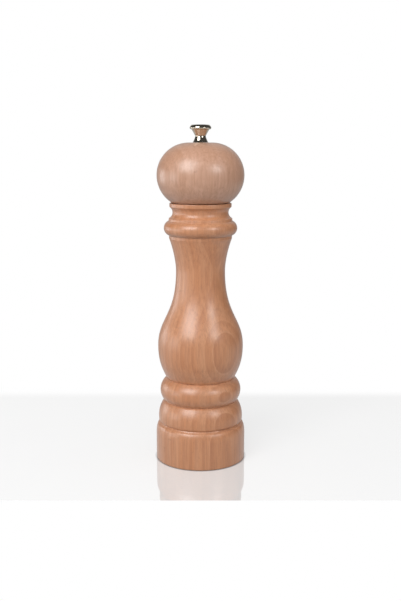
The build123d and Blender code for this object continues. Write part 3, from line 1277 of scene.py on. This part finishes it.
@dataclass(frozen=True)
class WoodScrews:
    """Slotted wood screws, heads down, on a circle about the axis.

    Sizes are in millimetres and slot_turns in degrees, one for each screw. The head gives its
    outline from the height of its face or crown up to the shank.
    """

    name: str
    node: str
    body: str
    slot_turns: tuple[float, ...]
    circle_r: float
    head_z: float
    tip_z: float
    head_r: float
    shank_r: float
    head: Callable[[float], list[Point]]
    thread: Thread = Thread(pitch=1.1)
    thread_depth: float = 0.28
    slot_w: float = 0.6
    slot_depth: float = 0.5
    tip_h: float = 2.2
    plain_h: float = 1.6
    count: int = 40
    steps_per_pitch: int = 8

    def screw(self) -> bpy.types.Object:
        """Build one screw on the axis, with its slot along X.

        Returns:
            The object.
        """
        skin = Skin()
        head = self.head(self.head_z)
        first = head[-1][1] + self.plain_h
        loops = [skin.ring(radius, height, self.count) for radius, height in (*head, (self.shank_r, first))]
        pitch = self.thread.pitch
        steps = int((self.tip_z - first) / pitch * self.steps_per_pitch)
        for step in range(1, steps):
            height = first + (self.tip_z - first) * step / steps
            major = self.shank_r * min(1.0, (self.tip_z - height) / self.tip_h)
            minor = major * (1.0 - self.thread_depth * min(1.0, (height - first) / pitch))
            loops.append(self.thread.loop(skin, height, minor, major, self.count))
        loops.append(skin.ring(0.0, self.tip_z, self.count))
        skin.stack(loops)
        slot_size = (3 * self.head_r, self.slot_w, 2 * self.slot_depth)
        return carved(skin.build(self.name), bar("slot", slot_size, (0.0, 0.0, self.head_z)))

    def build(self) -> None:
        """Set the screws round their circle, each with its slot at its own angle."""
        piece = self.screw()
        work = bmesh.new()
        for i, slot_deg in enumerate(self.slot_turns):
            angle = math.tau * i / len(self.slot_turns)
            place = (self.circle_r * math.cos(angle) * MM, self.circle_r * math.sin(angle) * MM, 0.0)
            turn = Euler((0.0, 0.0, angle + math.radians(slot_deg)))
            copy = piece.data.copy()
            copy.transform(Matrix.LocRotScale(place, turn, None))
            work.from_mesh(copy)
            bpy.data.meshes.remove(copy)
        work.to_mesh(piece.data)
        work.free()
        dress_piece(piece, SCREW_STEEL.material(), self.body, "screw_steel", self.node)


def pan_head(crown_z: float) -> list[Point]:
    """Draw the rounded head of a retaining screw.

    Args:
        crown_z: Height of its crown.

    Returns:
        Points as (radius, height).
    """
    head_r, shank_r, depth, dome_share, squareness = 2.3, 1.25, 1.3, 0.85, 0.7
    angles = [math.radians(6 + 12 * i) for i in range(8)]
    dome_h = depth * dome_share
    dome = [(head_r * math.sin(a) ** squareness, crown_z + dome_h * (1 - math.cos(a))) for a in angles]
    return [(0.0, crown_z), *dome, (head_r, crown_z + depth), (shank_r, crown_z + depth)]


def sunk_head(face_z: float) -> list[Point]:
    """Countersunk head of a drive screw with its face at a height, as (radius, height)."""
    head_r, shank_r, depth, edge = 2.1, 1.1, 1.0, 0.12
    return [(0.0, face_z), (head_r - edge, face_z), (head_r, face_z + edge), (shank_r, face_z + depth)]


@dataclass
class Foot:
    """Burr ring, its plate and screws, and the bridge over it; widths of broken edges in millimetres."""

    ring_edge: float = 0.06
    plate_edge: float = 0.12
    strap_edge: float = 0.12
    screws: WoodScrews = WoodScrews(
        name="plate_screws",
        node="retaining_screws",
        body="body",
        slot_turns=(24.0, -51.0, 73.0),
        circle_r=18.4,
        head_z=6.0,
        tip_z=15.8,
        head_r=2.3,
        shank_r=1.25,
        head=pan_head,
    )

    def build(self) -> None:
        """Finish the works that the foot holds."""
        refinish_node("grinding_ring", HARDENED_STEEL, self.ring_edge)
        refinish_node("retaining_plate", PLATED_STEEL, self.plate_edge)
        refinish_node("bridge", STRIP_STEEL, self.strap_edge)
        self.screws.build()


@dataclass
class Drive:
    """Plate under the spigot that turns the shaft, and its screws; broken edge in millimetres."""

    plate_edge: float = 0.12
    screws: WoodScrews = WoodScrews(
        name="drive_screws",
        node="drive_plate_screws",
        body="head",
        slot_turns=(38.0, -17.0),
        circle_r=7.8,
        head_z=158.4,
        tip_z=166.4,
        head_r=2.1,
        shank_r=1.1,
        head=sunk_head,
    )

    def build(self) -> None:
        """Finish the plate and set its screws."""
        refinish_node("drive_plate", PLATED_STEEL, self.plate_edge)
        self.screws.build()


class Reach(Enum):
    """What a lamp lights."""

    MILL = "everything but the table top"
    TABLE = "the table top alone, with no image of the lamp in it"


@dataclass
class Softbox:
    """A square lamp that looks at the mill; distances in metres."""

    name: str
    azimuth_deg: float
    elevation_deg: float
    distance: float
    width: float
    height: float
    power: float
    reach: Reach = Reach.MILL
    aim_z: float = 0.11

    def build(self, floor: bpy.types.Object) -> None:
        """Hang the lamp.

        Args:
            floor: The table top.
        """
        data = bpy.data.lights.new(self.name, "AREA")
        data.shape = "RECTANGLE"
        data.size = self.width
        data.size_y = self.height
        data.energy = self.power
        lamp = bpy.data.objects.new(self.name, data)
        bpy.context.scene.collection.objects.link(lamp)
        turn, lift = math.radians(self.azimuth_deg), math.radians(self.elevation_deg)
        away = Vector((math.sin(turn) * math.cos(lift), -math.cos(turn) * math.cos(lift), math.sin(lift)))
        lamp.location = Vector((0.0, 0.0, self.aim_z)) + away * self.distance
        lamp.rotation_euler = (-away).to_track_quat("-Z", "Y").to_euler()
        lamp.visible_camera = False
        lamp.visible_glossy = self.reach is Reach.MILL
        linked = bpy.data.collections.new(self.name + "_link")
        linked.objects.link(floor)
        state = "EXCLUDE" if self.reach is Reach.MILL else "INCLUDE"
        linked.collection_objects[0].light_linking.link_state = state
        lamp.light_linking.receiver_collection = linked


@dataclass
class Studio:
    """Pale glossy table, surroundings, five lamps and the camera.

    Lengths are in metres, or in millimetres where the name says so. The table fades into white
    from front_edge_mm forwards and between the two numbers of back_edge_mm.
    """

    floor_side_mm: float = 1400.0
    front_edge_mm: float = -76.0
    front_fade_mm: float = 1.0
    back_edge_mm: Point = (128.0, 152.0)
    mirror: float = 0.33
    grey_scale: float = 0.02
    greys: tuple[Triple, Triple] = ((0.36, 0.36, 0.36), (0.38, 0.38, 0.38))
    ambient: float = 0.23
    front_ambient: float = 0.76
    front: Triple = (0.44, -0.88, 0.16)
    dark_room: float = 0.06
    backdrop: float = 0.42
    backdrop_slope: float = 1.35
    backdrop_fade: float = 0.12
    backdrop_top: Point = (0.92, 0.6)
    floor_lift: float = 0.56
    floor_gloss: float = 0.4
    # Ring round the foot where the lift is left out: a painted contact shadow.
    painted_contact_shadow_mm: Point = (29.0, 31.2)
    camera_place: Triple = (0.0, -0.549, 0.209)
    pitch_deg: float = 10.57
    lens: float = 50.9
    sensor_w: float = 36.0
    lamps: tuple[Softbox, ...] = (
        Softbox("key_softbox", -38.0, 37.0, 1.0, 0.62, 0.6, 5.1),
        Softbox("fill_softbox", 43.0, 27.0, 1.0, 0.34, 0.32, 1.7),
        Softbox("side_panel", -76.0, -2.0, 1.0, 0.5, 0.5, 1.5),
        Softbox("rear_panel", -116.0, -2.0, 1.0, 0.5, 0.5, 1.6),
        Softbox("table_softbox", -25.0, 37.0, 1.0, 0.7, 0.6, 7.6, Reach.TABLE),
    )

    def acrylic(self) -> bpy.types.Material:
        """Build the finish of the table, which turns into plain white away from the mill.

        The lift brightens the table to the eye and in gloss, but not the light that it gives
        off. It is left out of a ring at the foot, which paints a dark contact shadow round the mill.

        Returns:
            The material.
        """
        shader = Surface("white_acrylic")
        x, y, _ = shader.places()
        table = y.band(self.front_edge_mm, self.front_edge_mm + self.front_fade_mm, *self.back_edge_mm)
        grey = shader.noise(x * self.grey_scale, y * self.grey_scale, 0.0)
        seen = shader.rays("Camera", "Glossy")
        lift = shader.rays("Camera") * (1.0 - self.floor_gloss) + seen * self.floor_gloss
        # Painted contact shadow: the lift fades to nothing in a ring round the mill's foot.
        lift = lift * x.hypot(y).rise(*self.painted_contact_shadow_mm)
        shader.dress({
            "Base Color": shader.blend(grey, *self.greys),
            "Roughness": 0.5,
            "IOR": 1.2,
            "Emission Color": shader.blend(lift, (0.0, 0.0, 0.0), WHITE),
            "Emission Strength": self.floor_lift,
        })
        mirror_inputs = {"Base Color": WHITE, "Metallic": 1.0, "Roughness": 0.0}
        mirror = shader.node("ShaderNodeBsdfPrincipled", {}, mirror_inputs)
        strength = shader.rays("Camera") * (1.0 - self.backdrop) + self.backdrop
        white = shader.node("ShaderNodeEmission", {}, {"Color": WHITE, "Strength": strength})
        inputs = {0: self.mirror, 1: shader.principled.outputs[0], 2: mirror.outputs[0]}
        glossy = shader.node("ShaderNodeMixShader", {}, inputs)
        inputs = {0: (1.0 - table) * seen, 1: glossy.outputs[0], 2: white.outputs[0]}
        whole = shader.node("ShaderNodeMixShader", {}, inputs)
        shader.feed(shader.output.inputs["Surface"], whole.outputs[0])
        return shader.material

    def floor(self) -> bpy.types.Object:
        """Lay the table top.

        Returns:
            The table top.
        """
        skin = Skin()
        corners = ((u * self.floor_side_mm, v * self.floor_side_mm, 0.0) for u, v in SQUARE)
        skin.faces.append(tuple(skin.loop(corners)))
        piece = skin.build("table_top")
        piece.data.materials.append(self.acrylic())
        piece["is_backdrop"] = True
        return piece

    def surroundings(self) -> None:
        """Make the world: white to the eye, soft light on the mill, a dark room in gloss.

        The dark room has a paler backdrop behind the mill.
        """
        world = bpy.data.worlds.new("room")
        bpy.context.scene.world = world
        shader = Shader(world)
        towards = shader.node("ShaderNodeTexCoord").outputs["Generated"]
        across, back, up = shader.split(towards)
        wall = (back - across.size() * self.backdrop_slope).rise(0.0, self.backdrop_fade)
        wall = wall * up.rise(*self.backdrop_top)
        inputs = {0: towards, 1: self.front}
        facing = shader.node("ShaderNodeVectorMath", {"operation": "DOT_PRODUCT"}, inputs)
        soft = Signal(shader, facing.outputs["Value"]).rise(-1.0, 1.0)
        soft = soft * (self.front_ambient - self.ambient) + self.ambient
        mirrored = wall * (self.backdrop - self.dark_room) + self.dark_room
        strength = shader.rays("Glossy", "Transmission") * (mirrored - soft) + soft
        strength = strength.most(shader.rays("Camera", "Singular"))
        light = shader.node("ShaderNodeBackground", {}, {"Color": WHITE, "Strength": strength})
        shader.node("ShaderNodeOutputWorld", {}, {"Surface": light.outputs[0]})

    def camera(self) -> None:
        """Set up the camera."""
        data = bpy.data.cameras.new("camera")
        data.lens = self.lens
        data.sensor_width = self.sensor_w
        camera = bpy.data.objects.new("camera", data)
        bpy.context.scene.collection.objects.link(camera)
        camera.location = self.camera_place
        camera.rotation_euler = (math.radians(90.0 - self.pitch_deg), 0.0, 0.0)
        bpy.context.scene.camera = camera

    def build(self) -> None:
        """Set up the floor, the light and the camera."""
        floor = self.floor()
        self.surroundings()
        for lamp in self.lamps:
            lamp.build(floor)
        self.camera()
        bpy.context.scene.view_settings.view_transform = "Standard"
        LOG.info("studio is set up")


def report_sizes() -> None:
    """Gather the CAD box and the dressed model's box side by side; nothing is written or kept."""
    boxes = {"cad": CAD_BOX, "visual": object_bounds()}
    {key: [list(corner) for corner in box] for key, box in boxes.items()}


def main() -> None:
    """Build the mill from the foot up, then the studio round it."""
    logging.basicConfig(level=logging.INFO, format="%(name)s: %(message)s")
    Body().build()
    Foot().build()
    Spindle().build()
    Spring().build()
    Head().build()
    Drive().build()
    FinialNut().build()
    Studio().build()
    report_sizes()


if __name__ == "__main__":
    main()
